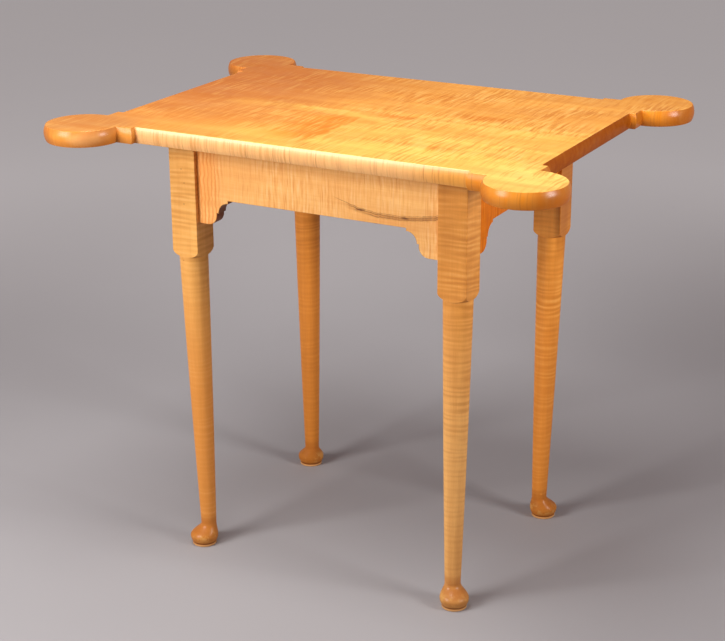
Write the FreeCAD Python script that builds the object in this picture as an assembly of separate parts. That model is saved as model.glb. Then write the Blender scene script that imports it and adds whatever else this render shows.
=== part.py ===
import FreeCAD, Part
import math
import os

# A porringer-top tea table: two edge-glued top boards with round corners, four offset-turned legs and
# four bracketed aprons joined by mortise and tenon. The top is held down by wooden buttons.
# Millimetres. X runs along the table, Y from front to back, Z up from the floor.

# Top boards
table_height = 660.0
top_thickness = 23.0
top_length = 653.0          # between the straight parts of the two ends
top_width = 462.5           # between the straight parts of the long edges
porringer_radius = 56.0
tooth_step = 8.5            # the square tooth and the circle's centre stand this far past the straight edge
tooth_length = 25.0         # straight run of the tooth beside the circle
edge_crown = 3.0            # the edge bows out this far past its upper and lower corners
edge_arris = 1.2            # round of those corners
seam_offset = -5.0          # the glued seam, from the table's centre line

# Frame
frame_length = 464.0        # outside faces of the posts
frame_width = 368.7
post_side = 42.7
post_below_bracket = 40.5   # square part that shows under the brackets, down to the turned shoulder
post_arris = 1.0

# Turned leg and pad foot
shoulder_radius = 13.0
turning_allowance = 0.35    # the shaft and the foot are turned this far inside the faces of the post
shaft_swell = 0.6           # the taper's slight outward bow
ankle_diameter = 23.0
ankle_height = 34.0
heel_setback = 1.9          # the ankle stands this far in from the heel
toe_offset = 1.2            # the foot's centre, outward from the post's centre
foot_widest_height = 14.0
pad_inset = 3.0             # the pad under the foot is this much smaller all round
pad_height = 4.0
pad_groove = 0.7
pad_chamfer = 1.0

# Aprons
apron_thickness = 19.0
apron_setback = 6.4         # the apron's face stands back from the post's face
apron_height = 81.5         # between the brackets
bracket_flat = 16.0
end_bracket_flat = 20.0     # the same on the two end aprons
ovolo_radius = 15.0
bracket_ledge = 3.0
cove_radius = 16.0
bracket_step = 4.0
apron_arris = 0.7           # taken off the lower edges, front and back
tenon_thickness = 8.0
tenon_shoulder = 12.0       # above and below the tenon
mortise_wall = 1.8          # wood left between the two mortises of a post
glue_gap = 1.0              # at the end of a tenon
cheek_gap = 0.05            # round a tenon's sides

# Buttons and their slots
button_width = 26.0
button_length = 34.0
button_lip = 2.5            # below the tongue
button_gap = 0.5            # under the top, so that the screw draws it tight
button_standoff = 2.0       # from the apron's inner face, room for the top to move
button_chamfer = 3.0
tongue_height = 6.0
tongue_reach = 6.0          # into the slot
slot_drop = 10.0            # from the apron's upper edge to the slot
slot_end_play = 2.5
slot_side_play = 3.0
slot_height_play = 0.6
long_button_margin = 64.0   # from a post to the nearest button on a long apron
short_button_margin = 82.0  # and on an end apron

# Screws
screw_diameter = 4.2
screw_head_diameter = 8.4
screw_head_height = 2.6
screw_cover = 9.0           # wood left above the screw's point
screw_point = 4.0
screw_slot_width = 1.2
screw_slot_depth = 1.1
screw_play = 0.3            # round the shank in the button
pilot_play = 0.05           # round the screw in the top and under its head

# Worked out from the sizes above
top_underside = table_height - top_thickness
half_thickness = top_thickness / 2
top_middle = table_height - half_thickness
crown_radius = (half_thickness ** 2 + edge_crown ** 2) / (2 * edge_crown)
arris_run = math.sqrt((crown_radius - edge_arris) ** 2 - (half_thickness - edge_arris) ** 2)
arris_angle = math.atan2(half_thickness - edge_arris, arris_run)
arris_inset = crown_radius - arris_run      # from the widest part of the edge to the flat of the top
porringer_x = top_length / 2 + tooth_step
porringer_y = top_width / 2 + tooth_step
post_x = (frame_length - post_side) / 2
post_y = (frame_width - post_side) / 2
post_half = post_side / 2
bracket_drop = bracket_step + cove_radius + bracket_ledge + ovolo_radius
apron_straight_z = top_underside - apron_height
apron_low_z = apron_straight_z - bracket_drop
shoulder_height = apron_low_z - post_below_bracket
shaft_top_radius = post_half - turning_allowance
foot_radius = post_half - turning_allowance
pad_radius = foot_radius - pad_inset
ankle_radius = ankle_diameter / 2
ankle_offset = foot_radius - toe_offset - ankle_radius - heel_setback
tenon_centre = apron_setback + apron_thickness / 2    # from the outside face of the post
tenon_length = post_side - tenon_centre - tenon_thickness / 2 - mortise_wall - glue_gap
tenon_low_z = apron_low_z + tenon_shoulder
tenon_high_z = top_underside - tenon_shoulder
tongue_top_z = top_underside - slot_drop
button_top_z = top_underside - button_gap
button_low_z = tongue_top_z - tongue_height - button_lip
screw_bite = top_thickness - screw_cover
slot_depth = tongue_reach + slot_end_play
screw_setback = button_standoff + button_length / 2   # from the apron's inner face
long_span = frame_length - 2 * post_side
short_span = frame_width - 2 * post_side

up = FreeCAD.Vector(0, 0, 1)
origin = FreeCAD.Vector(0, 0, 0)


def vec(x, y, z):
    return FreeCAD.Vector(x, y, z)


def block(x_low, x_high, y_low, y_high, z_low, z_high):
    return Part.makeBox(x_high - x_low, y_high - y_low, z_high - z_low, vec(x_low, y_low, z_low))


def line(start, end):
    return Part.LineSegment(start, end).toShape()


def arc(start, middle, end):
    return Part.Arc(start, middle, end).toShape()


def mirrored(shape, side_x, side_y):
    copy = shape.copy()
    if side_x < 0:
        copy = copy.mirror(origin, vec(1, 0, 0))
    if side_y < 0:
        copy = copy.mirror(origin, vec(0, 1, 0))
    return copy


def turned(shape, degrees):
    copy = shape.copy()
    copy.rotate(origin, up, degrees)
    return copy


def same(first, second):
    return abs(first - second) < 1e-4


def upright_edges_near(shape, places):
    found = []
    for edge in shape.Edges:
        low = edge.Vertexes[0].Point
        high = edge.Vertexes[-1].Point
        upright = same(low.x, high.x) and same(low.y, high.y) and not same(low.z, high.z)
        if upright and any(same(abs(low.x), x) and same(abs(low.y), y) for x, y in places):
            found.append(edge)
    return found


def flat_edges_at(shape, height):
    return [edge for edge in shape.Edges
            if same(edge.BoundBox.ZMin, height) and same(edge.BoundBox.ZMax, height)]


# Top: a slab with a disc and a square block at each corner, whose two ends are the teeth.
# All of its edges have the same bowed section.

def edge_arcs(reach, out):
    # In the XZ plane, from the upper flat round the edge to the lower one: out is 1 or -1
    def at(inward, height):
        return vec(reach - out * inward, 0, top_middle + height)

    blend = (math.pi / 2 + arris_angle) / 2
    arris_middle = (arris_inset - edge_arris * math.cos(blend),
                    half_thickness - edge_arris + edge_arris * math.sin(blend))
    arris_end = (crown_radius * (1 - math.cos(arris_angle)), crown_radius * math.sin(arris_angle))
    upper = arc(at(arris_inset, half_thickness), at(*arris_middle), at(*arris_end))
    bow = arc(at(*arris_end), at(0, 0), at(arris_end[0], -arris_end[1]))
    lower = arc(at(arris_end[0], -arris_end[1]), at(arris_middle[0], -arris_middle[1]),
                at(arris_inset, -half_thickness))
    return [upper, bow, lower]


def bowed_bar(x_low, x_high, y_low, y_high):
    # Bowed edges towards -X and +X, plain ends that stand past the given Y
    flat_low = x_low + arris_inset
    flat_high = x_high - arris_inset
    section = Part.Wire([
        line(vec(flat_low, 0, table_height), vec(flat_high, 0, table_height)),
        *edge_arcs(x_high, 1),
        line(vec(flat_high, 0, top_underside), vec(flat_low, 0, top_underside)),
        *reversed(edge_arcs(x_low, -1)),
    ])
    face = Part.Face(section)
    face.translate(vec(0, y_low - edge_crown, 0))
    return face.extrude(vec(0, y_high - y_low + 2 * edge_crown, 0))


def bowed_slab(x_low, x_high, y_low, y_high):
    across = turned(bowed_bar(y_low, y_high, -x_high, -x_low), 90)
    return bowed_bar(x_low, x_high, y_low, y_high).common(across)


def bowed_disc(radius):
    flat_end = radius - arris_inset
    section = Part.Wire([
        line(vec(0, 0, table_height), vec(flat_end, 0, table_height)),
        *edge_arcs(radius, 1),
        line(vec(flat_end, 0, top_underside), vec(0, 0, top_underside)),
        line(vec(0, 0, top_underside), vec(0, 0, table_height)),
    ])
    return Part.Face(section).revolve(origin, up, 360)


def shaped_top():
    top = bowed_slab(-top_length / 2, top_length / 2, -top_width / 2, top_width / 2)
    tooth_x = porringer_x - porringer_radius - tooth_length
    tooth_y = porringer_y - porringer_radius - tooth_length
    disc = turned(bowed_disc(porringer_radius), 225)
    disc.translate(vec(porringer_x, porringer_y, 0))
    corner = bowed_slab(tooth_x, porringer_x, tooth_y, porringer_y).fuse(disc)
    for side_x in (-1, 1):
        for side_y in (-1, 1):
            top = top.fuse(mirrored(corner, side_x, side_y))
    return top.removeSplitter()


def top_boards(screw_places):
    top = shaped_top()
    pilot = Part.makeCylinder(screw_diameter / 2 + pilot_play, screw_bite + pilot_play, origin, up)
    for x, y in screw_places:
        hole = pilot.copy()
        hole.translate(vec(x, y, top_underside))
        top = top.cut(hole)
    reach_x = porringer_x + 2 * porringer_radius
    reach_y = porringer_y + 2 * porringer_radius
    front_half = block(-reach_x, reach_x, -reach_y, seam_offset, 0, 2 * table_height)
    return top.common(front_half), top.cut(front_half)


# Leg: square post, turned shoulder, tapered shaft on a leaning axis and a pad foot, in one piece.
# It is made at the origin with its toe towards +X, then turned to the table's diagonal.

shaft_start = vec(-ankle_offset, 0, ankle_height)
shaft_end = vec(0, 0, shoulder_height)


def turned_post():
    post = block(-post_half, post_half, -post_half, post_half, shoulder_height - shoulder_radius, top_underside)
    corners = [(post_half, post_half)]
    post = post.makeFillet(post_arris, upright_edges_near(post, corners))
    corner_radius = post_half * math.sqrt(2)
    ball_radius = corner_radius - shoulder_radius     # the shoulder's arc is struck from here
    low_z = shoulder_height - shoulder_radius
    slope = math.sqrt(0.5) * shoulder_radius
    outline = Part.Wire([
        line(vec(0, 0, low_z), vec(ball_radius, 0, low_z)),
        arc(vec(ball_radius, 0, low_z),
            vec(ball_radius + slope, 0, shoulder_height - slope),
            vec(corner_radius, 0, shoulder_height)),
        line(vec(corner_radius, 0, shoulder_height), vec(corner_radius, 0, top_underside)),
        line(vec(corner_radius, 0, top_underside), vec(0, 0, top_underside)),
        line(vec(0, 0, top_underside), vec(0, 0, low_z)),
    ])
    return post.common(Part.Face(outline).revolve(origin, up, 360))


def leaning_shaft():
    length = (shaft_end - shaft_start).Length
    middle_radius = (ankle_radius + shaft_top_radius) / 2 + shaft_swell
    outline = Part.Wire([
        line(vec(0, 0, 0), vec(ankle_radius, 0, 0)),
        arc(vec(ankle_radius, 0, 0), vec(middle_radius, 0, length / 2), vec(shaft_top_radius, 0, length)),
        line(vec(shaft_top_radius, 0, length), vec(0, 0, length)),
        line(vec(0, 0, length), vec(0, 0, 0)),
    ])
    shaft = Part.Face(outline).revolve(origin, up, 360)
    shaft.Placement = FreeCAD.Placement(shaft_start, FreeCAD.Rotation(up, shaft_end - shaft_start))
    return shaft


def pad_foot():
    groove_radius = pad_radius - pad_groove
    rise = foot_widest_height - pad_height
    out = foot_radius - groove_radius
    swell_radius = (out ** 2 + rise ** 2) / (2 * out)    # upright where the foot is widest
    swell_centre = foot_radius - swell_radius
    half_sweep = math.asin(rise / swell_radius) / 2
    outline = Part.Wire([
        line(vec(0, 0, 0), vec(pad_radius - pad_chamfer, 0, 0)),
        line(vec(pad_radius - pad_chamfer, 0, 0), vec(pad_radius, 0, pad_chamfer)),
        line(vec(pad_radius, 0, pad_chamfer), vec(pad_radius, 0, pad_height)),
        line(vec(pad_radius, 0, pad_height), vec(groove_radius, 0, pad_height)),
        arc(vec(groove_radius, 0, pad_height),
            vec(swell_centre + swell_radius * math.cos(half_sweep), 0,
                foot_widest_height - swell_radius * math.sin(half_sweep)),
            vec(foot_radius, 0, foot_widest_height)),
        line(vec(foot_radius, 0, foot_widest_height), vec(0, 0, foot_widest_height)),
        line(vec(0, 0, foot_widest_height), vec(0, 0, 0)),
    ])
    pad = Part.Face(outline).revolve(origin, up, 360)
    pad.translate(vec(toe_offset, 0, 0))
    return pad


def foot_top():
    # Round sections from the widest part of the foot to the ankle: the heel rises nearly straight
    # and the toe falls away in a double curve
    section_steps = 6
    toe_low = toe_offset + foot_radius
    toe_high = ankle_radius - ankle_offset
    heel_low = foot_radius - toe_offset
    heel_high = ankle_radius + ankle_offset
    lean = (shaft_end - shaft_start).normalize() - up
    sections = []
    for step in range(section_steps + 1):
        share = step / section_steps
        blend = (1 + math.cos(math.pi * share)) / 2
        toe = toe_high + (toe_low - toe_high) * blend
        heel = heel_high + (heel_low - heel_high) * blend
        height = foot_widest_height + (ankle_height - foot_widest_height) * share
        ring = Part.Circle(vec((toe - heel) / 2, 0, height), up + lean * (1 - blend), (toe + heel) / 2)
        sections.append(Part.Wire([ring.toShape()]))
    return Part.makeLoft(sections, True)


def mortise(side_half, along_half):
    # In the post at the corner (along_half, side_half), open towards the middle of the table along X
    inner_face = along_half - post_side
    centre_y = side_half - tenon_centre
    half_thickness = tenon_thickness / 2 + cheek_gap
    return block(inner_face, inner_face + tenon_length + glue_gap,
                 centre_y - half_thickness, centre_y + half_thickness,
                 tenon_low_z - cheek_gap, tenon_high_z + cheek_gap)


def leg_blank():
    turning = leaning_shaft().fuse([pad_foot(), foot_top()])
    leg = turned_post().fuse(turned(turning, 45))
    leg = leg.removeSplitter()
    leg.translate(vec(post_x, post_y, 0))
    long_mortise = mortise(frame_width / 2, frame_length / 2)
    short_mortise = mortise(frame_length / 2, frame_width / 2)
    short_mortise = turned(short_mortise.mirror(origin, vec(0, 1, 0)), 90)
    return leg.cut([long_mortise, short_mortise])


# Apron along X, outer face towards -Y: bracketed board, a tenon at each end and slots for the buttons

def lower_arrises(board, half):
    # The edges of both faces that run along the brackets and the straight between them
    found = []
    for edge in board.Edges:
        box = edge.BoundBox
        on_a_face = same(box.YMin, box.YMax)
        low = box.ZMax < apron_straight_z or same(box.ZMax, apron_straight_z)
        on_tenon = max(-box.XMin, box.XMax) > half + tenon_length / 2
        if on_a_face and low and not on_tenon:
            found.append(edge)
    return found


def apron(span, half_depth, flat, button_places):
    face_y = apron_setback - half_depth
    inner_y = face_y + apron_thickness
    half = span / 2
    cove_slope = cove_radius * math.sqrt(0.5)
    ovolo_slope = ovolo_radius * (1 - math.sqrt(0.5))
    ovolo_x = half - flat
    ledge_x = ovolo_x - ovolo_radius
    cove_x = ledge_x - bracket_ledge
    step_x = cove_x - cove_radius
    ovolo_z = apron_low_z + ovolo_radius
    ledge_z = ovolo_z + bracket_ledge
    step_z = ledge_z + cove_radius
    half_outline = Part.Wire([
        line(vec(0, face_y, top_underside), vec(half, face_y, top_underside)),
        line(vec(half, face_y, top_underside), vec(half, face_y, apron_low_z)),
        line(vec(half, face_y, apron_low_z), vec(ovolo_x, face_y, apron_low_z)),
        arc(vec(ovolo_x, face_y, apron_low_z),
            vec(ledge_x + ovolo_slope, face_y, apron_low_z + ovolo_slope),
            vec(ledge_x, face_y, ovolo_z)),
        line(vec(ledge_x, face_y, ovolo_z), vec(ledge_x, face_y, ledge_z)),
        line(vec(ledge_x, face_y, ledge_z), vec(cove_x, face_y, ledge_z)),
        arc(vec(cove_x, face_y, ledge_z),
            vec(step_x + cove_slope, face_y, ledge_z + cove_slope),
            vec(step_x, face_y, step_z)),
        line(vec(step_x, face_y, step_z), vec(step_x, face_y, apron_straight_z)),
        line(vec(step_x, face_y, apron_straight_z), vec(0, face_y, apron_straight_z)),
        line(vec(0, face_y, apron_straight_z), vec(0, face_y, top_underside)),
    ])
    half_board = Part.Face(half_outline).extrude(vec(0, apron_thickness, 0))
    half_tenon = block(half, half + tenon_length,
                       tenon_centre - half_depth - tenon_thickness / 2,
                       tenon_centre - half_depth + tenon_thickness / 2,
                       tenon_low_z, tenon_high_z)
    half_board = half_board.fuse(half_tenon)
    board = half_board.fuse(mirrored(half_board, -1, 1)).removeSplitter()
    board = board.makeChamfer(apron_arris, lower_arrises(board, half))
    slot_half = button_width / 2 + slot_side_play
    slots = [block(place - slot_half, place + slot_half, inner_y - slot_depth, inner_y,
                   tongue_top_z - tongue_height - slot_height_play, tongue_top_z)
             for place in button_places]
    return board.cut(slots)


# Button under the top, its tongue in the slot of an apron that runs along X

def button(place, half_depth):
    inner_y = apron_setback + apron_thickness - half_depth
    near_y = inner_y + button_standoff
    far_y = near_y + button_length
    low_x = place - button_width / 2
    high_x = place + button_width / 2
    body = block(low_x, high_x, near_y, far_y, button_low_z, button_top_z)
    low_end = [edge for edge in flat_edges_at(body, button_low_z) if same(edge.BoundBox.YMin, far_y)]
    body = body.makeChamfer(button_chamfer, low_end)
    tongue = block(low_x, high_x, inner_y - tongue_reach, near_y, tongue_top_z - tongue_height, tongue_top_z)
    screw_y = inner_y + screw_setback
    drill = screw_solid(screw_diameter / 2 + screw_play, pilot_play)
    drill.translate(vec(place, screw_y, 0))
    return body.fuse(tongue).removeSplitter().cut(drill)


# Countersunk screw with a slotted head, flush with the button's underside, point up

def screw_solid(shank_radius, play):
    head_radius = screw_head_diameter / 2 + play
    shank_top = top_underside + screw_bite - screw_point
    outline = Part.Wire([
        line(vec(0, 0, button_low_z), vec(head_radius, 0, button_low_z)),
        line(vec(head_radius, 0, button_low_z), vec(shank_radius, 0, button_low_z + screw_head_height)),
        line(vec(shank_radius, 0, button_low_z + screw_head_height), vec(shank_radius, 0, shank_top)),
        line(vec(shank_radius, 0, shank_top), vec(0, 0, top_underside + screw_bite)),
        line(vec(0, 0, top_underside + screw_bite), vec(0, 0, button_low_z)),
    ])
    return Part.Face(outline).revolve(origin, up, 360)


def slotted_screw():
    reach = screw_head_diameter
    slot = block(-reach, reach, -screw_slot_width / 2, screw_slot_width / 2,
                 button_low_z, button_low_z + screw_slot_depth)
    return screw_solid(screw_diameter / 2, 0).cut(slot)


# Build and write every piece

os.makedirs("parts", exist_ok=True)
pieces = {}

blank = leg_blank()
for end, side_y in (("front", -1), ("back", 1)):
    for hand, side_x in (("left", -1), ("right", 1)):
        pieces[f"leg_{end}_{hand}"] = mirrored(blank, side_x, side_y)

long_place = long_span / 2 - long_button_margin
short_place = short_span / 2 - short_button_margin
long_places = {"left": -long_place, "middle": 0, "right": long_place}
short_places = {"front": -short_place, "back": short_place}
# Each side: which way it faces, its span, half the frame's depth there, its bracket's flat and its buttons
sides = {
    "front": (vec(0, -1, 0), long_span, frame_width / 2, bracket_flat, long_places),
    "back": (vec(0, 1, 0), long_span, frame_width / 2, bracket_flat, long_places),
    "right": (vec(1, 0, 0), short_span, frame_length / 2, end_bracket_flat, short_places),
    "left": (vec(-1, 0, 0), short_span, frame_length / 2, end_bracket_flat, short_places),
}
screw = slotted_screw()
screws = []
for side, (facing, span, half_depth, flat, places) in sides.items():
    angle = math.degrees(math.atan2(facing.x, -facing.y))
    run = facing.x - facing.y     # -1 where the turned apron runs from right to left or from back to front
    pieces[f"apron_{side}"] = turned(apron(span, half_depth, flat, places.values()), angle)
    for name, place in places.items():
        pieces[f"button_{side}_{name}"] = turned(button(run * place, half_depth), angle)
        fitted = screw.copy()
        fitted.translate(vec(run * place, apron_setback + apron_thickness + screw_setback - half_depth, 0))
        screws.append(turned(fitted, angle))
pieces["button_screws"] = Part.makeCompound(screws)

screw_places = [(fitted.BoundBox.Center.x, fitted.BoundBox.Center.y) for fitted in screws]
pieces["top_board_front"], pieces["top_board_back"] = top_boards(screw_places)

for name, shape in pieces.items():
    shape.exportStep(f"parts/{name}.step")
    print(name, "solids", len(shape.Solids), "valid", shape.isValid(), "volume", round(shape.Volume))
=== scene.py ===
import math

import bpy
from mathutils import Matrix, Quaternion, Vector


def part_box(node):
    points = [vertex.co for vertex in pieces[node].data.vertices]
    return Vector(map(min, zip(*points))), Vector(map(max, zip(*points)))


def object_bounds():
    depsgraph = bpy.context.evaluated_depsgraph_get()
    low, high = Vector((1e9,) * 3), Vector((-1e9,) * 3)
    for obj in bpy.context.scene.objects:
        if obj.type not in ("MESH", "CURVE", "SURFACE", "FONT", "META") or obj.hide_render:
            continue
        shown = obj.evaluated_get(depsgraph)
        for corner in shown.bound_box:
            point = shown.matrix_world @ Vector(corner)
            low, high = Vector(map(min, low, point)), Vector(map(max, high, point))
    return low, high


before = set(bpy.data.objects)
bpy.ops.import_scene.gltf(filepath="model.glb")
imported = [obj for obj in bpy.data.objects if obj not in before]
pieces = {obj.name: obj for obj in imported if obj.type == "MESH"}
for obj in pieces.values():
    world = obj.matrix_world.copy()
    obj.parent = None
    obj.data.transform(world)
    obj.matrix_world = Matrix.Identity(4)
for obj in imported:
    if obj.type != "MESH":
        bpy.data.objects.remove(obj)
cadLow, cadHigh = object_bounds()
print("table loaded:", len(pieces), "pieces")


# helpers for wiring shader nodes

def colour(hexCode):
    # a screen colour, as the linear values that shaders take
    channels = [int(hexCode[i:i + 2], 16) / 255 for i in (0, 2, 4)]
    linear = [c / 12.92 if c <= 0.04045 else ((c + 0.055) / 1.055) ** 2.4 for c in channels]
    return (*linear, 1.0)


def addNode(tree, kind, **settings):
    node = tree.nodes.new(kind)
    node.location = (len(tree.nodes) * 170, 0)
    for key, value in settings.items():
        setattr(node, key, value)
    return node


def feed(tree, socket, value):
    if isinstance(value, bpy.types.NodeSocket):
        tree.links.new(value, socket)
    else:
        socket.default_value = value


def maths(tree, operation, *values):
    node = addNode(tree, "ShaderNodeMath", operation=operation)
    for socket, value in zip(node.inputs, values):
        feed(tree, socket, value)
    return node.outputs[0]


def vectorMaths(tree, operation, *values):
    node = addNode(tree, "ShaderNodeVectorMath", operation=operation)
    for socket, value in zip(node.inputs, values):
        feed(tree, socket, value)
    return node.outputs["Value" if operation in ("LENGTH", "DOT_PRODUCT") else "Vector"]


def splitVector(tree, vector):
    node = addNode(tree, "ShaderNodeSeparateXYZ")
    feed(tree, node.inputs[0], vector)
    return node.outputs


def joinVector(tree, *values):
    node = addNode(tree, "ShaderNodeCombineXYZ")
    for socket, value in zip(node.inputs, values):
        feed(tree, socket, value)
    return node.outputs[0]


def spread(tree, value, fromLow, fromHigh, toLow=0.0, toHigh=1.0, easing="SMOOTHSTEP"):
    node = addNode(tree, "ShaderNodeMapRange", interpolation_type=easing)
    for socket, setting in zip(node.inputs, (value, fromLow, fromHigh, toLow, toHigh)):
        feed(tree, socket, setting)
    return node.outputs[0]


def noise(tree, vector, scale=1.0, detail=2.0, roughness=0.5):
    node = addNode(tree, "ShaderNodeTexNoise")
    feed(tree, node.inputs["Vector"], vector)
    feed(tree, node.inputs["Scale"], scale)
    feed(tree, node.inputs["Detail"], detail)
    feed(tree, node.inputs["Roughness"], roughness)
    return node.outputs["Fac"]


def mixColour(tree, factor, first, second):
    node = addNode(tree, "ShaderNodeMix", data_type="RGBA")
    feed(tree, node.inputs[0], factor)
    feed(tree, node.inputs[6], first)
    feed(tree, node.inputs[7], second)
    return node.outputs[2]


def stretched(tree, vector, along, across):
    # grain coordinates squeezed or drawn out along the grain (X) and across it (Y and Z)
    return vectorMaths(tree, "MULTIPLY", vector, (along, across, across))


def startGroup(name, inputs, outputs):
    group = bpy.data.node_groups.new(name, "ShaderNodeTree")
    for label, (kind, default) in inputs.items():
        socket = group.interface.new_socket(label, in_out="INPUT", socket_type="NodeSocket" + kind)
        socket.default_value = default
    for label, kind in outputs.items():
        group.interface.new_socket(label, in_out="OUTPUT", socket_type="NodeSocket" + kind)
    return group, addNode(group, "NodeGroupInput").outputs, addNode(group, "NodeGroupOutput").inputs


def placeGroup(tree, group, **values):
    node = addNode(tree, "ShaderNodeGroup", node_tree=group)
    for label, value in values.items():
        feed(tree, node.inputs[label], value)
    return node.outputs


# tiger stripe: bands of curled fibre that cross the grain, and fine dark lines in groups

def makeCurlFigure():
    group, given, out = startGroup(
        "curlFigure",
        {"Vector": ("Vector", (0, 0, 0)), "Direction": ("Vector", (1, 0, 0)),
         "Spacing": ("Float", 0.006), "Reach": ("Float", 0.05), "Wander": ("Float", 0.006),
         "Regular": ("Float", 0.3), "Pale": ("Float", 0.7), "Calmest": ("Float", 0.25)},
        {"Stripe": "Float", "Line": "Float"})
    sway = maths(group, "SUBTRACT", noise(group, given["Vector"], scale=15.0), 0.5)
    sway = maths(group, "MULTIPLY", sway, maths(group, "MULTIPLY", given["Wander"], 4.0))
    along = vectorMaths(group, "DOT_PRODUCT", given["Vector"], given["Direction"])
    turns = maths(group, "DIVIDE", maths(group, "ADD", along, sway), given["Spacing"])
    parts = splitVector(group, given["Vector"])
    banded = joinVector(group, turns, maths(group, "DIVIDE", parts[1], given["Reach"]),
                        maths(group, "DIVIDE", parts[2], given["Reach"]))
    # even waves that drift in and out of step, mixed with uneven blotches
    drift = maths(group, "SUBTRACT", noise(group, stretched(group, banded, 0.3, 0.2), detail=1.0), 0.5)
    phase = maths(group, "MULTIPLY_ADD", drift, 3.0, turns)
    wave = maths(group, "SINE", maths(group, "MULTIPLY", phase, 2 * math.pi))
    wave = maths(group, "POWER", spread(group, wave, -1.0, 1.0, easing="LINEAR"), given["Pale"])
    blotch = spread(group, noise(group, stretched(group, banded, 1.3, 1.0)), 0.3, 0.7)
    stripe = maths(group, "MULTIPLY_ADD", maths(group, "SUBTRACT", wave, blotch), given["Regular"], blotch)
    # calmer in some places than in others
    patch = noise(group, given["Vector"], scale=12.0, detail=1.0)
    patch = spread(group, patch, 0.36, 0.62, given["Calmest"], 1.0)
    stripe = maths(group, "MULTIPLY_ADD", maths(group, "SUBTRACT", stripe, 0.5), patch, 0.5)
    feed(group, out["Stripe"], stripe)
    lines = noise(group, stretched(group, banded, 2.6, 0.7), roughness=0.6)
    lines = spread(group, lines, 0.44, 0.31)
    clusters = spread(group, noise(group, stretched(group, banded, 0.4, 0.5), detail=1.0), 0.42, 0.58)
    feed(group, out["Line"], maths(group, "MULTIPLY", lines, clusters))
    return group


# growth rings and fibres that run with the grain, and wide pools where the stain took deeper

def makeMapleGrain():
    group, given, out = startGroup(
        "mapleGrain",
        {"Vector": ("Vector", (0, 0, 0)), "Ring": ("Float", 0.012)},
        {"Grain": "Float", "Fibre": "Float", "Pool": "Float"})
    across = maths(group, "DIVIDE", 1.0, given["Ring"])
    rings = vectorMaths(group, "MULTIPLY", given["Vector"], joinVector(group, 2.2, across, across))
    feed(group, out["Grain"], spread(group, noise(group, rings, detail=3.0), 0.35, 0.65))
    fibres = stretched(group, given["Vector"], 45.0, 1100.0)
    feed(group, out["Fibre"], spread(group, noise(group, fibres), 0.3, 0.7))
    pools = stretched(group, given["Vector"], 5.0, 24.0)
    feed(group, out["Pool"], spread(group, noise(group, pools), 0.34, 0.66))
    return group


# how squarely a face looks along an axis: end grain, board edges and sides left bare

def makeFaceMask():
    group, given, out = startGroup(
        "faceMask",
        {"Normal": ("Vector", (0, 0, 1)), "Axis": ("Vector", (1, 0, 0)), "Start": ("Float", 0.3),
         "Full": ("Float", 0.9)},
        {"Facing": "Float", "Either": "Float"})
    square = vectorMaths(group, "DOT_PRODUCT", given["Normal"], given["Axis"])
    feed(group, out["Facing"], spread(group, square, given["Start"], given["Full"]))
    eitherWay = maths(group, "ABSOLUTE", square)
    feed(group, out["Either"], spread(group, eitherWay, given["Start"], given["Full"]))
    return group


# stained colour of the wood from all of its figure

def makeAmberTone():
    group, given, out = startGroup(
        "amberTone",
        {"Light": ("Color", (1, 1, 1, 1)), "Mid": ("Color", (1, 1, 1, 1)), "Dark": ("Color", (1, 1, 1, 1)),
         "Stripe": ("Float", 0.5), "Stripe Depth": ("Float", 0.7), "Line": ("Float", 0.0),
         "Line Depth": ("Float", 0.4), "Grain": ("Float", 0.5), "Grain Depth": ("Float", 0.2),
         "Fibre": ("Float", 0.5), "Pool": ("Float", 0.5), "Pool Depth": ("Float", 0.4)},
        {"Color": "Color"})
    darker = spread(group, given["Stripe"], 0.5, 0.0, easing="LINEAR")
    lighter = spread(group, given["Stripe"], 0.5, 1.0, easing="LINEAR")
    fibreDepth = 0.12
    layers = ((given["Pool"], given["Pool Depth"], "Dark"), (darker, given["Stripe Depth"], "Dark"),
              (lighter, given["Stripe Depth"], "Light"), (given["Line"], given["Line Depth"], "Dark"),
              (given["Grain"], given["Grain Depth"], "Dark"), (given["Fibre"], fibreDepth, "Dark"))
    tone = given["Mid"]
    for amount, depth, shade in layers:
        tone = mixColour(group, maths(group, "MULTIPLY", amount, depth), tone, given[shade])
    feed(group, out["Color"], tone)
    return group


# hand-rubbed varnish: roughness with smudges and faint scratches, and a little unevenness

def makeRubbedVarnish():
    group, given, out = startGroup(
        "rubbedVarnish",
        {"Vector": ("Vector", (0, 0, 0)), "Polished": ("Float", 0.26), "Dull": ("Float", 0.42)},
        {"Roughness": "Float", "Height": "Float"})
    scratchDullness, scratchHeight = 0.25, -0.1
    smudge = noise(group, given["Vector"], scale=22.0, detail=4.0, roughness=0.6)
    smudge = spread(group, smudge, 0.35, 0.68)
    scratch = spread(group, noise(group, stretched(group, given["Vector"], 9.0, 600.0)), 0.62, 0.74)
    dullness = maths(group, "MULTIPLY_ADD", scratch, scratchDullness, smudge)
    roughness = spread(group, dullness, 0.0, 1.0, given["Polished"], given["Dull"], "LINEAR")
    feed(group, out["Roughness"], roughness)
    ripple = noise(group, stretched(group, given["Vector"], 14.0, 70.0))
    feed(group, out["Height"], maths(group, "MULTIPLY_ADD", scratch, scratchHeight, ripple))
    return group


# one soft-edged mark, such as a fleck, a knot or a pool of stain, at a place on the table

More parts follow.
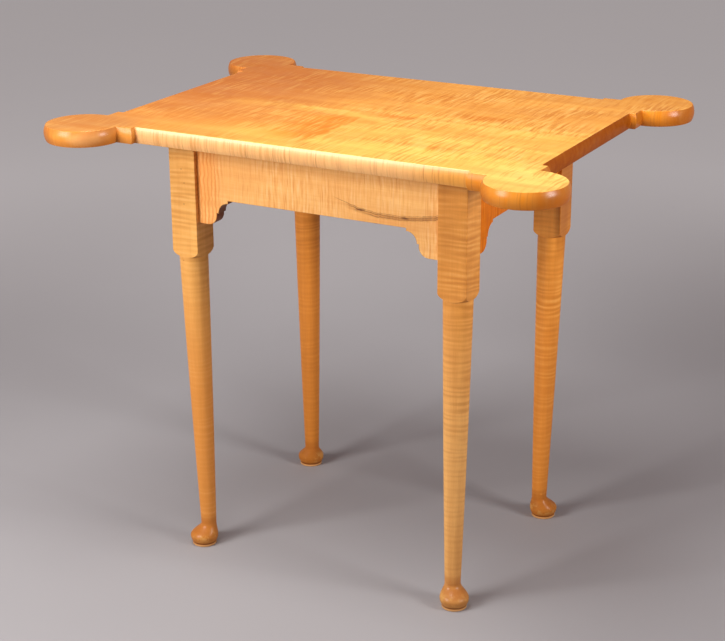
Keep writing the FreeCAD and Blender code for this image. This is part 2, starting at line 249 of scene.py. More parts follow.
def makeSoftMark():
    group, given, out = startGroup(
        "softMark",
        {"Vector": ("Vector", (0, 0, 0)), "Centre": ("Vector", (0, 0, 0)), "Size": ("Vector", (1, 1, 1)),
         "Ragged": ("Float", 0.3)},
        {"Mask": "Float"})
    offset = vectorMaths(group, "SUBTRACT", given["Vector"], given["Centre"])
    reach = vectorMaths(group, "DIVIDE", offset, given["Size"])
    distance = vectorMaths(group, "LENGTH", reach)
    rough = maths(group, "SUBTRACT", noise(group, reach, scale=2.0, detail=3.0), 0.5)
    distance = maths(group, "MULTIPLY_ADD", rough, maths(group, "MULTIPLY", given["Ragged"], 2.0), distance)
    feed(group, out["Mask"], spread(group, distance, 1.0, 0.25))
    return group


curlFigure = makeCurlFigure()
mapleGrain = makeMapleGrain()
faceMask = makeFaceMask()
amberTone = makeAmberTone()
rubbedVarnish = makeRubbedVarnish()
softMark = makeSoftMark()
print("finish groups made:", len(bpy.data.node_groups))


# turns that bring a board's grain onto X, and the grain's own axis
grainTurn = {"x": (0, 0, 0), "y": (0, 0, -math.pi / 2), "z": (0, math.pi / 2, 0)}
grainAxis = {"x": (1, 0, 0), "y": (0, 1, 0), "z": (0, 0, 1)}


def grainVector(tree, place, look):
    turn = addNode(tree, "ShaderNodeMapping")
    turn.inputs["Rotation"].default_value = grainTurn[look["grain"]]
    turn.inputs["Location"].default_value = look["seed"]
    feed(tree, turn.inputs["Vector"], place)
    return turn.outputs[0]


def mixShade(tree, tone, mask, shade):
    # a shade has a colour, and a depth that says how much of it goes in where the mask is full
    return mixColour(tree, maths(tree, "MULTIPLY", mask, shade["depth"]), tone, colour(shade["colour"]))


def addMarks(tree, tone, place, marks):
    for mark in marks:
        mask = placeGroup(tree, softMark, Vector=place, Centre=mark["at"], Size=mark["size"],
                          Ragged=mark.get("ragged", 0.3))["Mask"]
        tone = mixShade(tree, tone, mask, mark)
    return tone


def facing(tree, normal, face):
    return placeGroup(tree, faceMask, Normal=normal, Axis=face["axis"],
                      Start=face["start"], Full=face["full"])


def addTint(tree, tone, normal, tint, within=1.0):
    mask = maths(tree, "MULTIPLY", facing(tree, normal, tint)["Either"], within)
    return mixShade(tree, tone, mask, tint)


def patchyMask(tree, place, patches):
    patchwork = noise(tree, vectorMaths(tree, "MULTIPLY", place, patches["perMetre"]), detail=3.0)
    return spread(tree, patchwork, *patches["range"])


def bandMask(tree, along, across, band):
    # a ragged band along a sagging line, fading in and out along its length
    lowAlong, lowAcross = band["low"]
    away = maths(tree, "SUBTRACT", along, lowAlong)
    sag = spread(tree, away, -0.01, 0.01, *band["sag"])        # left of its low point, then right of it
    line = maths(tree, "MULTIPLY_ADD", maths(tree, "MULTIPLY", away, away), sag, lowAcross)
    rough = noise(tree, joinVector(tree, along, across, 0.0), scale=band["raggedScale"], detail=3.0)
    off = maths(tree, "SUBTRACT", across, line)
    off = maths(tree, "MULTIPLY_ADD", maths(tree, "SUBTRACT", rough, 0.5), band["ragged"], off)
    off = maths(tree, "DIVIDE", maths(tree, "ABSOLUTE", off), band["halfWidth"])
    mask = spread(tree, off, 1.0, 0.3)
    for start, full in band["fades"]:
        mask = maths(tree, "MULTIPLY", mask, spread(tree, along, start, full))
    return mask


def makeMaple(name, look, under=None, over=None, keptCoat=None):
    # under adds colour below the figure, over adds it on top; keptCoat is how much varnish is left
    material = bpy.data.materials.new(name)
    material.use_nodes = True
    tree = material.node_tree
    shader = tree.nodes["Principled BSDF"]
    place = addNode(tree, "ShaderNodeTexCoord").outputs["Object"]
    normal = addNode(tree, "ShaderNodeNewGeometry").outputs["Normal"]
    board = grainVector(tree, place, look)
    stripeDepth, lineDepth = look["stripeDepth"], look["lineDepth"]
    if "calm" in look:
        # the figure dies away towards one end of the piece
        axis, *fade = look["calm"]
        strength = spread(tree, splitVector(tree, place)["XYZ".index(axis)], *fade)
        stripeDepth = maths(tree, "MULTIPLY", strength, stripeDepth)
        lineDepth = maths(tree, "MULTIPLY", strength, lineDepth)
    curl = placeGroup(tree, curlFigure, Vector=board, Direction=(1.0, *look["lean"]),
                      Spacing=look["spacing"], Reach=look["reach"], Wander=look["wander"],
                      Regular=look["regular"], Pale=look["pale"], Calmest=look["calmest"])
    grain = placeGroup(tree, mapleGrain, Vector=board, Ring=look["ring"])
    spot = {"place": place, "normal": normal}
    mid = addMarks(tree, colour(look["mid"]), place, look["stains"])
    if under:
        mid = under(tree, mid, spot)
    tone = placeGroup(tree, amberTone, **{
        "Light": colour(look["light"]), "Mid": mid, "Dark": colour(look["dark"]),
        "Stripe": curl["Stripe"], "Stripe Depth": stripeDepth,
        "Line": curl["Line"], "Line Depth": lineDepth,
        "Grain": grain["Grain"], "Grain Depth": look["grainDepth"],
        "Fibre": grain["Fibre"], "Pool": grain["Pool"], "Pool Depth": look["poolDepth"]})["Color"]
    tone = addMarks(tree, tone, place, look["marks"])
    if over:
        tone = over(tree, tone, spot)
    endGrain = {"axis": grainAxis[look["grain"]], "start": look["endStart"], "full": look["endFull"],
                "depth": look["endDepth"], "colour": look["endTint"]}
    tone = addTint(tree, tone, normal, endGrain)
    varnish = placeGroup(tree, rubbedVarnish, Vector=board, Polished=look["polished"], Dull=look["dull"])
    roughness = varnish["Roughness"]
    coat = look["coat"]
    if keptCoat:
        coat = maths(tree, "MULTIPLY", keptCoat(tree, spot), coat)
    if "bareSide" in look:
        bare = facing(tree, normal, {**bareWood, "axis": look["bareSide"]})["Facing"]
        raw = mixColour(tree, curl["Stripe"], colour(bareWood["dark"]), colour(bareWood["light"]))
        tone = mixColour(tree, maths(tree, "MULTIPLY", bare, bareWood["depth"]), tone, raw)
        roughness = maths(tree, "MULTIPLY_ADD", bare, bareWood["rougher"], roughness)
        coat = maths(tree, "MULTIPLY", maths(tree, "SUBTRACT", 1.0, bare), coat)
    feed(tree, shader.inputs["Coat Weight"], coat)
    feed(tree, shader.inputs["Base Color"], tone)
    feed(tree, shader.inputs["Roughness"], roughness)
    shader.inputs["Specular IOR Level"].default_value = look["sheen"]
    shader.inputs["Coat Roughness"].default_value = look["coatRoughness"]
    height = maths(tree, "MULTIPLY_ADD", curl["Stripe"], look["curlHeight"],
                   maths(tree, "MULTIPLY", varnish["Height"], look["varnishHeight"]))
    height = maths(tree, "MULTIPLY_ADD", grain["Fibre"], look["fibreHeight"], height)
    bump = addNode(tree, "ShaderNodeBump")
    bump.inputs["Strength"].default_value = look["bump"]
    bump.inputs["Distance"].default_value = look["bumpDistance"]
    feed(tree, bump.inputs["Height"], height)
    feed(tree, shader.inputs["Normal"], bump.outputs[0])
    return material


def finishPiece(name, material):
    slots = pieces[name].data.materials
    slots.clear()
    slots.append(material)


# what all the maple on the table shares; each piece below changes what differs
maple = {
    "grain": "x", "seed": (0, 0, 0), "stains": [], "marks": [],
    "light": "FFC67A", "mid": "EFA452", "dark": "BE7028",
    "endTint": "A0500E", "endStart": 0.12, "endFull": 0.7, "endDepth": 0.9,
    "spacing": 0.006, "reach": 0.055, "wander": 0.004, "lean": (0.0, 0.0),
    "regular": 0.3, "pale": 0.7, "calmest": 0.25, "ring": 0.014,
    "stripeDepth": 0.6, "lineDepth": 0.4, "grainDepth": 0.18, "poolDepth": 0.25,
    "polished": 0.4, "dull": 0.58, "sheen": 0.16, "coat": 0.42, "coatRoughness": 0.15,
    "curlHeight": 0.8, "varnishHeight": 0.35, "fibreHeight": 0.12, "bump": 0.35, "bumpDistance": 0.0003,
}
# the underside of the top and the backs of the aprons never had stain or varnish
bareWood = {"light": "DDB98A", "dark": "B98C57", "depth": 0.8, "rougher": 0.25, "start": 0.8, "full": 0.95}


# top: two boards, golden to the right and front, amber at the back left, partly painted light falling off
# from the front right
topSurface = cadHigh[2]
topBoards = {
    "seeds": {"top_board_front": (0.31, 0.12, 0.05), "top_board_back": (1.72, 0.64, 0.21)},
    "look": {"light": "FCCC74", "mid": "EBA64E", "dark": "B86520",
             "spacing": 0.0052, "reach": 0.045, "wander": 0.003, "regular": 0.25,
             "stripeDepth": 0.62, "lineDepth": 0.5, "poolDepth": 0.28, "bareSide": (0, 0, -1),
             "endDepth": 0.42, "calm": ("X", -0.24, 0.1, 0.45, 1.0), "coatRoughness": 0.27, "sheen": 0.04},
    # pools of stain, the big golden and dark ones partly painted light: centre and size across the top,
    # depth, colour
    "stains": [((-0.38, 0.10), (0.48, 0.42), 0.9, "BE703C"),
               ((-0.34, -0.235), (0.13, 0.10), 0.75, "B67C48"),
               ((0.26, -0.16), (0.46, 0.28), 0.85, "F8C860"),
               ((0.043, -0.010), (0.05, 0.014), 0.7, "E08028"),
               ((0.158, 0.036), (0.06, 0.022), 0.7, "DC8028"),
               ((0.176, -0.146), (0.035, 0.03), 0.5, "E0933A"),
               ((0.02, 0.13), (0.10, 0.03), 0.5, "CE7C2E"),
               ((-0.19, -0.02), (0.06, 0.03), 0.5, "F2B458"),
               ((0.335, -0.235), (0.12, 0.10), 0.7, "FFD674")],
    "stainReach": 0.016,                # they go this deep, so they stay off the edges
    "swirl": {"low": (-0.12, -0.016), "sag": (-1.2, -1.2), "halfWidth": 0.02, "ragged": 0.06,
              "raggedScale": 34.0, "fades": [(-0.19, -0.08), (0.17, 0.02)],
              "depth": 0.6, "colour": "FBCB62"},
    # an orange patch that fades in from the left and stops short at a curl line
    "orangePatch": {"left": (-0.13, -0.02), "right": (-0.001, -0.008), "front": (-0.21, -0.16),
                    "back": (-0.025, -0.06), "wobblesPerMetre": 60.0, "wobble": 0.02,
                    "depth": 0.85, "colour": "EE8428"},
    "pinKnot": {"at": (-0.043, -0.2312, 0.6515), "size": (0.0016, 0.006, 0.0011),
                "depth": 0.85, "colour": "8A4E1E"},
    "cornerStart": {"x": (0.250, 0.257), "y": (0.160, 0.153)},     # where the square teeth begin
    # edges: cream sides, partly a painted sheen, orange to the right; dark mottled sawn ends, partly
    # painted shade
    "longEdge": {"axis": (0, 1, 0), "start": 0.6, "full": 0.95, "depth": 0.65, "colour": "EAB67E"},
    "edgeEnd": {"axis": (0, 1, 0), "start": 0.6, "full": 0.95, "depth": 0.85, "colour": "E0983C"},
    "edgeTurns": (0.14, 0.24),          # where a side goes from cream to orange
    "shortEdge": {"axis": (1, 0, 0), "start": 0.12, "full": 0.7, "depth": 0.95, "colour": "702A00"},
    "endMottle": {"perMetre": (40, 95, 55), "range": (0.32, 0.68, 0.72, 1.0)},
    # corners: a deeper orange round the right-hand ones, most on their end grain, and painted shade low on
    # them all
    "rim": {"axis": (0, 1, 0), "start": 0.2, "full": 0.8, "depth": 0.45, "colour": "D67E22"},
    "rightRim": {"upright": (0.9, 0.5), "perMetre": (85, 85, 35), "range": (0.35, 0.65, 0.3, 1.0),
                 "depth": 0.7, "colour": "E28410"},
    "rightEnd": {"axis": (1, 0, 0), "start": 0.4, "full": 0.95, "depth": 0.6, "colour": "8E4404"},
    "rimUnderShade": {"facing": (0.1, -0.4), "depth": 0.35, "colour": "A4560E"},
    # the left-hand rims: painted shade at the back and far left, and a painted highlight on the front one
    "rimShadeAndHighlight": [{"at": (-0.355, 0.185, 0.6465), "size": (0.08, 0.075, 0.016), "ragged": 0.1,
                  "depth": 0.6, "colour": "8C4A18"},
                 {"at": (-0.368, -0.284, 0.6465), "size": (0.034, 0.03, 0.018),
                  "depth": 0.55, "colour": "A8642A"},
                 {"at": (-0.3, -0.282, 0.6485), "size": (0.034, 0.04, 0.014),
                  "depth": 0.35, "colour": "FFCC8C"}],
    # fine upright lines on the edges, in groups; rimDepth is what is left of them round the corners
    "edgeLines": [{"perMetre": 240.0, "groupsPerMetre": 21.0, "dense": (0.5, 0.37),
                   "depth": 0.5, "colour": "BE7A38", "rimDepth": 0.3},
                  {"perMetre": 520.0, "groupsPerMetre": 33.0, "dense": (0.44, 0.34),
                   "depth": 0.42, "colour": "8A4A1A", "rimDepth": 0.6}],
    "lineGroups": (0.38, 0.62), "lineWavesPerMetre": 14.0,
    # the upper arris along the front, painted pale as a highlight
    "paintedArrisHighlight": {"from": (0.3, 0.5), "to": (0.95, 0.85), "front": (-0.18, -0.21),
              "depth": 0.6, "colour": "FFE6AC"},
    "wornEdge": {"axis": (0, 1, 0), "start": 0.92, "full": 0.975, "kept": 0.3},
    "wornFace": {"start": 0.9, "full": 0.99, "kept": 0.12},
    "dryEnd": {"axis": (1, 0, 0), "start": 0.7, "full": 0.9, "kept": 0.25},
}


def addSwirl(tree, tone, spot):
    x, y, _ = splitVector(tree, spot["place"])
    swirl = topBoards["swirl"]
    tone = mixShade(tree, tone, bandMask(tree, x, y, swirl), swirl)
    patch = topBoards["orangePatch"]
    wobble = maths(tree, "SUBTRACT", noise(tree, spot["place"], scale=patch["wobblesPerMetre"]), 0.5)
    wobbly = maths(tree, "MULTIPLY_ADD", wobble, patch["wobble"], x)
    mask = 1.0
    for axis, side in ((wobbly, "left"), (wobbly, "right"), (y, "front"), (y, "back")):
        mask = maths(tree, "MULTIPLY", mask, spread(tree, axis, *patch[side]))
    return mixShade(tree, tone, mask, patch)


def cornerMask(tree, axis, value):
    return spread(tree, maths(tree, "ABSOLUTE", value), *topBoards["cornerStart"][axis])


def lineEdges(tree, tone, spot, side, corner):
    x, y, z = splitVector(tree, spot["place"])
    waves = maths(tree, "MULTIPLY", z, topBoards["lineWavesPerMetre"])
    for lines in topBoards["edgeLines"]:
        fine = joinVector(tree, maths(tree, "MULTIPLY", x, lines["perMetre"]), y, waves)
        fine = spread(tree, noise(tree, fine, detail=1.0), *lines["dense"])
        crowd = noise(tree, maths(tree, "MULTIPLY", x, lines["groupsPerMetre"]))
        mask = maths(tree, "MULTIPLY", fine, spread(tree, crowd, *topBoards["lineGroups"]))
        onSide = maths(tree, "MULTIPLY", mask, side)
        tone = addTint(tree, tone, spot["normal"], {**topBoards["longEdge"], **lines}, onSide)
        onRim = maths(tree, "MULTIPLY", maths(tree, "MULTIPLY", mask, corner), lines["rimDepth"])
        tone = addTint(tree, tone, spot["normal"], {**topBoards["rim"], "colour": lines["colour"]}, onRim)
    return tone


def finishEdges(tree, tone, spot):
    place, normal = spot["place"], spot["normal"]
    x, y, _ = splitVector(tree, place)
    up = splitVector(tree, normal)[2]
    corner = cornerMask(tree, "x", x)
    side = maths(tree, "SUBTRACT", 1.0, corner)
    # painted sheen: the cream along the long edges, fading out to orange at the right
    tone = addTint(tree, tone, normal, topBoards["longEdge"], side)
    tone = addTint(tree, tone, normal, topBoards["edgeEnd"], spread(tree, x, *topBoards["edgeTurns"]))
    tone = addTint(tree, tone, normal, topBoards["rim"], corner)
    deep = topBoards["rightRim"]
    rightRim = maths(tree, "MULTIPLY", spread(tree, maths(tree, "ABSOLUTE", up), *deep["upright"]),
                     spread(tree, x, *topBoards["cornerStart"]["x"]))
    tone = mixShade(tree, tone, maths(tree, "MULTIPLY", rightRim, patchyMask(tree, place, deep)), deep)
    tone = addTint(tree, tone, normal, topBoards["rightEnd"], rightRim)
    # painted shade on the lower, downward-facing part of every rim
    low = topBoards["rimUnderShade"]
    tone = mixShade(tree, tone, maths(tree, "MULTIPLY", corner, spread(tree, up, *low["facing"])), low)
    # the sawn ends, dark as end grain and partly painted shade
    slabEnd = maths(tree, "MULTIPLY", cornerMask(tree, "y", y),
                    patchyMask(tree, place, topBoards["endMottle"]))
    tone = addTint(tree, tone, normal, topBoards["shortEdge"], slabEnd)
    tone = lineEdges(tree, tone, spot, side, corner)
    # painted highlight along the front upper arris
    paintedArrisHighlight = topBoards["paintedArrisHighlight"]
    mask = maths(tree, "MULTIPLY", spread(tree, up, *paintedArrisHighlight["from"]), spread(tree, up, *paintedArrisHighlight["to"]))
    inFront = maths(tree, "MULTIPLY", side, spread(tree, y, *paintedArrisHighlight["front"]))
    tone = mixShade(tree, tone, maths(tree, "MULTIPLY", mask, inFront), paintedArrisHighlight)
    # painted shade and a painted highlight on the left-hand rims
    return addMarks(tree, tone, place, topBoards["rimShadeAndHighlight"])


def wearEdge(tree, spot):
    # hands and cloths have dulled the upper face, and the long edges between the corners
    x, y, _ = splitVector(tree, spot["place"])
    up = splitVector(tree, spot["normal"])[2]
    worn = topBoards["wornEdge"]
    mask = facing(tree, spot["normal"], worn)["Either"]
    mask = maths(tree, "SUBTRACT", mask, cornerMask(tree, "x", x))
    kept = spread(tree, mask, 0.0, 1.0, 1.0, worn["kept"], "LINEAR")
    worn = topBoards["wornFace"]
    kept = maths(tree, "MULTIPLY", kept, spread(tree, up, worn["start"], worn["full"], 1.0, worn["kept"]))
    # the sawn ends soaked the varnish up
    dry = topBoards["dryEnd"]
    mask = facing(tree, spot["normal"], dry)["Either"]
    mask = maths(tree, "MULTIPLY", mask, cornerMask(tree, "y", y))
    return maths(tree, "MULTIPLY", kept, spread(tree, mask, 0.0, 1.0, 1.0, dry["kept"], "LINEAR"))


# stain pools on the top, partly painted light and shade across it
topStainsAndPaintedLight = [{"at": (*at, topSurface), "size": (*size, topBoards["stainReach"]),
              "depth": depth, "colour": shade}
             for at, size, depth, shade in topBoards["stains"]]
for name, seed in topBoards["seeds"].items():
    look = {**maple, **topBoards["look"], "seed": seed,
            "stains": topStainsAndPaintedLight, "marks": [topBoards["pinKnot"]]}
    finishPiece(name, makeMaple(name + "_maple", look, addSwirl, finishEdges, wearEdge))
print("top finished")


# legs: the grain runs up the leg, so the stripes go round it, leaning a little
legs = {
    "seeds": {"leg_front_left": (0.13, 0.41, 0.32), "leg_front_right": (2.47, 0.83, 0.11),
              "leg_back_left": (3.61, 1.35, 0.77), "leg_back_right": (5.02, 1.91, 0.46)},
    "look": {"grain": "z", "endTint": "A65C22", "endStart": 0.5, "endFull": 1.0, "endDepth": 0.6,
             "spacing": 0.0082, "reach": 0.05, "wander": 0.0014, "lean": (0.0, 0.03),
             "regular": 0.5, "pale": 1.3, "calmest": 0.6, "ring": 0.01,
             "coat": 0.3, "coatRoughness": 0.26, "sheen": 0.1,
             "stripeDepth": 0.52, "lineDepth": 0.12, "poolDepth": 0.25, "curlHeight": 0.45},
    "shades": {"leg_front_left": {"light": "FCC880", "mid": "EEB05E", "dark": "B8722C", "stripeDepth": 0.44,
                                  "calm": ("Z", 0.36, 0.47, 0.28, 1.0)},
               "leg_front_right": {"light": "F2B262", "mid": "DC9240", "dark": "AE6826",
                                   "lean": (0.14, 0.03), "calm": ("Z", 0.12, 0.42, 0.4, 1.0)},
               "leg_back_left": {"light": "F2A54C", "mid": "D88632", "dark": "A85E1C",
                                 "calm": ("Z", 0.26, 0.5, 0.35, 0.8)},
               # painted light: the back right leg is paler, to stand in for light its post misses under the
               # top
               "leg_back_right": {"light": "FFC064", "mid": "FFAA48", "dark": "BC6618",
                                  "calm": ("Z", 0.16, 0.42, 0.35, 1.0)}},
    # shafts redder than their posts, and the front right one paler
    "shafts": {"leg_front_left": "D88432", "leg_front_right": "E8B26A", "leg_back_right": "DA8632"},
    "shaftStain": {"low": 0.1, "size": (0.3, 0.3, 0.42), "depth": 0.75, "ragged": 0.1},
    "flecks": {"leg_front_left": [(-0.2119, -0.1843, 0.595), (-0.2078, -0.1843, 0.5751),
                                  (-0.2094, -0.1843, 0.5442), (-0.2148, -0.184, 0.4592)]},
    "fleck": {"size": (0.0013, 0.004, 0.0011), "depth": 0.8, "colour": "6B3A14"},
    # painted shade: the back right post is darker on its right face, to cut the side lamp's light there
    "paintedShadeFaces": {"leg_back_right": [{"at": (0.232, 0.163, 0.56), "size": (0.016, 0.07, 0.2),
                                      "depth": 0.75, "colour": "985010"}]},
    "scuffedBelow": (0.005, 0.03, 0.4, 1.0),      # varnish is thin on the feet
    # scuffed feet, from the floor up: darker up to 3 cm, the bare rim of the pad, painted shade in its
    # groove, rubbed sides, and painted shade at the ankle's hollow
    "footWearAndShade": [{"low": -0.01, "high": 0.03, "soft": 0.008, "patch": -0.2,
                  "depth": 0.5, "colour": "94541C"},
                 {"low": -0.001, "high": 0.0036, "soft": 0.0006, "patch": 0.25,
                  "depth": 0.65, "colour": "DDAC74"},
                 {"low": 0.004, "high": 0.0062, "soft": 0.0009, "patch": 0.0,
                  "depth": 0.6, "colour": "6A3612"},
                 {"low": 0.010, "high": 0.024, "soft": 0.005, "patch": 0.5,
                  "depth": 0.5, "colour": "D4A058"},
                 {"low": 0.026, "high": 0.046, "soft": 0.008, "patch": 0.3,
                  "depth": 0.5, "colour": "A25818"}],
    "rubsPerMetre": 75.0, "rubSoftness": 0.12,
}


def wearAndShadeFoot(tree, tone, spot):
    height = splitVector(tree, spot["place"])[2]
    rubbed = noise(tree, spot["place"], scale=legs["rubsPerMetre"], detail=3.0, roughness=0.6)
    # bands of wear, with painted shade in the groove and at the ankle
    for footLayer in legs["footWearAndShade"]:
        mask = spread(tree, rubbed, footLayer["patch"], footLayer["patch"] + legs["rubSoftness"])
        for edge, turn in ((footLayer["low"], 1), (footLayer["high"], -1)):
            soft = turn * footLayer["soft"]
            mask = maths(tree, "MULTIPLY", mask, spread(tree, height, edge - soft, edge + soft))
        tone = mixShade(tree, tone, mask, footLayer)
    return tone


def scuffFoot(tree, spot):
    return spread(tree, splitVector(tree, spot["place"])[2], *legs["scuffedBelow"])


for name, seed in legs["seeds"].items():
    flecks = [{**legs["fleck"], "at": at} for at in legs["flecks"].get(name, [])]
    low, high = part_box(name)
    middle = ((low[0] + high[0]) / 2, (low[1] + high[1]) / 2, legs["shaftStain"]["low"])
    stains = []
    if name in legs["shafts"]:
        stains = [{**legs["shaftStain"], "at": middle, "colour": legs["shafts"][name]}]
    look = {**maple, **legs["look"], **legs["shades"][name], "seed": seed, "stains": stains,
            "marks": flecks + legs["paintedShadeFaces"].get(name, [])}
    finishPiece(name, makeMaple(name + "_maple", look, over=wearAndShadeFoot, keptCoat=scuffFoot))
print("legs finished")


# aprons: grain along each apron, stripes upright, and a dark mineral streak in the front one
aprons = {
    "seeds": {"apron_front": (0.83, 0.27, 0.0), "apron_back": (4.19, 0.55, 0.31),
              "apron_left": (6.34, 1.22, 0.18), "apron_right": (7.75, 1.61, 0.09)},
    "grains": {"apron_front": "x", "apron_back": "x", "apron_left": "y", "apron_right": "y"},
    "bareSides": {"apron_front": (0, 1, 0), "apron_back": (0, -1, 0), "apron_left": (1, 0, 0),
                  "apron_right": (-1, 0, 0)},
    # endTint is near black-brown: end grain, with painted shade for the sawn bracket ends that sit in
    # shadow
    "look": {"light": "FFD494", "mid": "FABE6E", "dark": "D0782C", "endTint": "6E340E",
             "spacing": 0.0046, "reach": 0.03, "wander": 0.0024, "regular": 0.35, "ring": 0.006,
             "stripeDepth": 0.55, "lineDepth": 0.45, "poolDepth": 0.28},
    # painted shade: the short side aprons get a deeper, darker orange for the shade they stand in under the
    # top
    "shortSideShade": {"light": "E2841E", "mid": "D06C0C", "dark": "A04C06", "coat": 0.12, "sheen": 0.05},
    "marks": {"apron_front": [{"at": (-0.19, -0.178, 0.59), "size": (0.05, 0.03, 0.09),
                               "depth": 0.5, "colour": "F0A04C"}]},
    "endCurl": {"fade": (-0.142, -0.162), "spacing": 0.006, "sway": 0.011, "swaysPerMetre": (24, 0, 38),
                "crests": (-0.2, 0.9), "depth": 0.6, "colour": "DA7826"},
    "streak": {"low": (0.112, 0.5665), "sag": (2.2, 1.5), "ragged": 0.0035, "raggedScale": 140.0},
    "band": {"halfWidth": 0.0044, "fades": [(0.03, 0.07)], "depth": 0.45, "colour": "B4742E"},
    # hair-thin dark threads: height above the streak's path, half width, where it starts
    "threads": [(0.0018, 0.0009, 0.045), (-0.0014, 0.0008, 0.07),
                (0.0038, 0.0006, 0.025), (0.0003, 0.0006, 0.095)],
    "thread": {"fadeIn": 0.02, "depth": 0.6, "colour": "643814"},
    "knots": [((0.071, -0.178, 0.5715), (0.010, 0.01, 0.0024)),
              ((0.138, -0.178, 0.5685), (0.008, 0.01, 0.0021))],
    "knot": {"ragged": 0.6, "depth": 0.85, "colour": "643814"},
}


def addStreak(tree, tone, spot):
    x, _, z = splitVector(tree, spot["place"])
    # strong wavy curl at the left end
    curl = aprons["endCurl"]
    sway = noise(tree, vectorMaths(tree, "MULTIPLY", spot["place"], curl["swaysPerMetre"]))
    turns = maths(tree, "DIVIDE", maths(tree, "MULTIPLY_ADD", sway, curl["sway"], x), curl["spacing"])
    wave = maths(tree, "SINE", maths(tree, "MULTIPLY", turns, 2 * math.pi))
    wave = maths(tree, "MULTIPLY", spread(tree, wave, *curl["crests"]), spread(tree, x, *curl["fade"]))
    tone = mixShade(tree, tone, wave, curl)
    band = {**aprons["streak"], **aprons["band"]}
    tone = mixShade(tree, tone, bandMask(tree, x, z, band), band)
    for rise, halfWidth, start in aprons["threads"]:
        fade = (start, start + aprons["thread"]["fadeIn"])
        thread = {**aprons["streak"], "halfWidth": halfWidth, "fades": [fade]}
        mask = bandMask(tree, x, maths(tree, "SUBTRACT", z, rise), thread)
        tone = mixShade(tree, tone, mask, aprons["thread"])
    knots = [{**aprons["knot"], "at": at, "size": size} for at, size in aprons["knots"]]
    return addMarks(tree, tone, spot["place"], knots)


for name, seed in aprons["seeds"].items():
    grain = aprons["grains"][name]
    # the short sides take their painted-shade colours
    sideShade = aprons["shortSideShade"] if grain == "y" else {}       # a deeper orange on the short sides
    look = {**maple, **aprons["look"], **sideShade, "seed": seed, "grain": grain,
            "bareSide": aprons["bareSides"][name], "marks": aprons["marks"].get(name, [])}
    finishPiece(name, makeMaple(name + "_maple", look, over=addStreak if name == "apron_front" else None))
print("aprons finished")


# buttons: plain unvarnished offcuts of the same maple, under the top
buttons = {
    "look": {"light": "E2C092", "mid": "D3AA74", "dark": "A87B48", "endTint": "A97C49",
             "spacing": 0.005, "reach": 0.03, "stripeDepth": 0.3, "lineDepth": 0.2,
             "polished": 0.6, "dull": 0.75, "coat": 0.0},
    "step": (0.37, 0.19, 0.0),        # each button is cut from another place in the offcut
}
buttonNames = sorted(name for name in pieces if name.startswith("button_") and name != "button_screws")
for count, name in enumerate(buttonNames):
    grain = "x" if name.startswith(("button_left", "button_right")) else "y"
    seed = tuple(count * move for move in buttons["step"])
    look = {**maple, **buttons["look"], "grain": grain, "seed": seed}
    finishPiece(name, makeMaple(name + "_maple", look))


# screws: plain steel, turned on a lathe and a little dulled
screws = {"bright": "B9B6AF", "dull": "7E7A73", "roughness": (0.3, 0.55), "tarnishPerMetre": 700.0,
          "turningPerMetre": (150, 150, 6000), "bump": 0.2, "bumpDistance": 0.0001}


def makeScrewSteel():
    material = bpy.data.materials.new("screw_steel")
    material.use_nodes = True
    tree = material.node_tree
    shader = tree.nodes["Principled BSDF"]
    place = addNode(tree, "ShaderNodeTexCoord").outputs["Object"]
    tarnish = noise(tree, place, scale=screws["tarnishPerMetre"], detail=4.0, roughness=0.6)
    tarnish = spread(tree, tarnish, 0.4, 0.66)
    turning = noise(tree, vectorMaths(tree, "MULTIPLY", place, screws["turningPerMetre"]))
    feed(tree, shader.inputs["Base Color"],
         mixColour(tree, tarnish, colour(screws["bright"]), colour(screws["dull"])))
    roughness = spread(tree, tarnish, 0.0, 1.0, *screws["roughness"], "LINEAR")
    feed(tree, shader.inputs["Roughness"], roughness)
    shader.inputs["Metallic"].default_value = 1.0
    bump = addNode(tree, "ShaderNodeBump")
    bump.inputs["Strength"].default_value = screws["bump"]
    bump.inputs["Distance"].default_value = screws["bumpDistance"]
    feed(tree, bump.inputs["Height"], turning)
    feed(tree, shader.inputs["Normal"], bump.outputs[0])
    return material


finishPiece("button_screws", makeScrewSteel())
print("buttons and screws finished")


# floor, lamps and camera
studio = {
    "floorSize": 30.0, "floorColour": "9F9C9D", "floorRoughness": 0.7,
    "cloudsPerMetre": 1.4, "cloudShade": 0.96,       # the paper is a little darker in wide clouds
    "worldColour": (1.0, 0.56, 0.59, 1.0), "worldStrength": 0.14,
    # past farStart the floor glows with farColour, a painted light seen only by the camera and in
    # reflections
    "farColour": "918E8E", "farStart": 0.8, "farFull": 2.4,       # pale paper past the lamps, in metres
    "aim": (0.0, 0.0, 0.45),
    "lamps": {
        "frontLamp": {"at": (-1.0, -1.8, 1.22), "size": 0.9, "power": 44.5},
        "sideLamp": {"at": (1.9, -0.17, 1.1), "size": 0.6, "power": 8.0,
                     "aim": (0.0, 0.0, 0.75), "spread": 90},
        "overheadLamp": {"at": (-0.1, -0.5, 2.1), "size": 0.8, "power": 25.5},
        "floorLamp": {"at": (-0.6, 1.05, 1.2), "size": 1.0, "power": 1.4,
                      "aim": (-0.6, 1.06, 0.0), "spread": 70},
    },
}


def seenRays(tree):
    # what the camera and reflections see, as against what lights the table
    rays = addNode(tree, "ShaderNodeLightPath").outputs
    mirrored = maths(tree, "MAXIMUM", rays["Is Glossy Ray"], rays["Is Transmission Ray"])
    return maths(tree, "MAXIMUM", rays["Is Camera Ray"], mirrored)


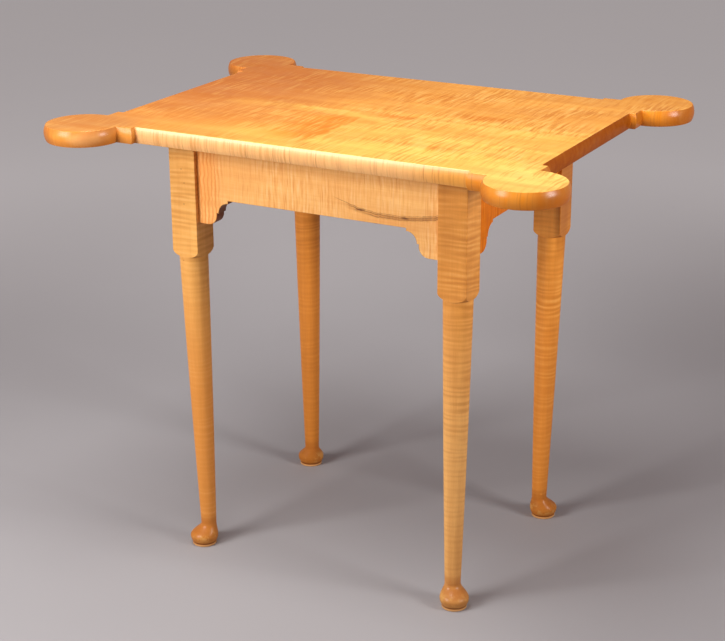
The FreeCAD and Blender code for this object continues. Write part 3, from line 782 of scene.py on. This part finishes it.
def makeFloor():
    half = studio["floorSize"] / 2
    mesh = bpy.data.meshes.new("floor")
    corners = [(-half, -half, 0), (half, -half, 0), (half, half, 0), (-half, half, 0)]
    mesh.from_pydata(corners, [], [(0, 1, 2, 3)])
    floor = bpy.data.objects.new("floor", mesh)
    bpy.context.scene.collection.objects.link(floor)
    material = bpy.data.materials.new("floorPaper")
    material.use_nodes = True
    tree = material.node_tree
    shader = tree.nodes["Principled BSDF"]
    place = addNode(tree, "ShaderNodeTexCoord").outputs["Object"]
    cloud = spread(tree, noise(tree, place, scale=studio["cloudsPerMetre"]), 0.3, 0.7)
    pale = colour(studio["floorColour"])
    cloudy = (*(channel * studio["cloudShade"] for channel in pale[:3]), 1.0)
    feed(tree, shader.inputs["Base Color"], mixColour(tree, cloud, pale, cloudy))
    shader.inputs["Roughness"].default_value = studio["floorRoughness"]
    # painted light: the far floor glows
    away = vectorMaths(tree, "LENGTH", place)
    far = spread(tree, away, studio["farStart"], studio["farFull"])
    shader.inputs["Emission Color"].default_value = colour(studio["farColour"])
    feed(tree, shader.inputs["Emission Strength"], maths(tree, "MULTIPLY", far, seenRays(tree)))
    mesh.materials.append(material)


def makeLamps():
    for name, lamp in studio["lamps"].items():
        aim = Vector(lamp.get("aim", studio["aim"]))
        light = bpy.data.lights.new(name, "AREA")
        light.size = lamp["size"]
        light.energy = lamp["power"]
        light.spread = math.radians(lamp.get("spread", 180))
        holder = bpy.data.objects.new(name, light)
        holder.location = lamp["at"]
        holder.rotation_mode = "QUATERNION"
        holder.rotation_quaternion = (aim - holder.location).to_track_quat("-Z", "Y")
        bpy.context.scene.collection.objects.link(holder)
    world = bpy.data.worlds.new("studio")
    world.use_nodes = True
    tree = world.node_tree
    sky = tree.nodes["Background"]
    sky.inputs["Color"].default_value = studio["worldColour"]
    sky.inputs["Strength"].default_value = studio["worldStrength"]
    backdrop = addNode(tree, "ShaderNodeBackground")
    backdrop.inputs["Color"].default_value = colour(studio["farColour"])
    either = addNode(tree, "ShaderNodeMixShader")
    for socket, source in zip(either.inputs, (seenRays(tree), sky.outputs[0], backdrop.outputs[0])):
        feed(tree, socket, source)
    feed(tree, tree.nodes["World Output"].inputs["Surface"], either.outputs[0])
    bpy.context.scene.world = world


photoView = {
    "at": (1.12029, -2.11559, 1.21631),     # found from the posts, feet and top outline in the photograph
    "aim": (-0.02275, 0.0, 0.34036),
    "roll": -0.325,                         # degrees
    "focalPixels": 1709.33, "imageWidth": 725,
    "sensor": 36.0,
}


def makeCamera():
    data = bpy.data.cameras.new("photoCamera")
    data.sensor_width = photoView["sensor"]
    data.lens = photoView["focalPixels"] * photoView["sensor"] / photoView["imageWidth"]
    camera = bpy.data.objects.new("photoCamera", data)
    camera.location = photoView["at"]
    sight = Vector(photoView["aim"]) - camera.location
    roll = Quaternion((0, 0, 1), math.radians(photoView["roll"]))
    camera.rotation_mode = "QUATERNION"
    camera.rotation_quaternion = sight.to_track_quat("-Z", "Y") @ roll
    bpy.context.scene.collection.objects.link(camera)
    bpy.context.scene.camera = camera


makeFloor()
makeLamps()
makeCamera()
bpy.context.scene.view_settings.view_transform = "Standard"
print("studio ready")
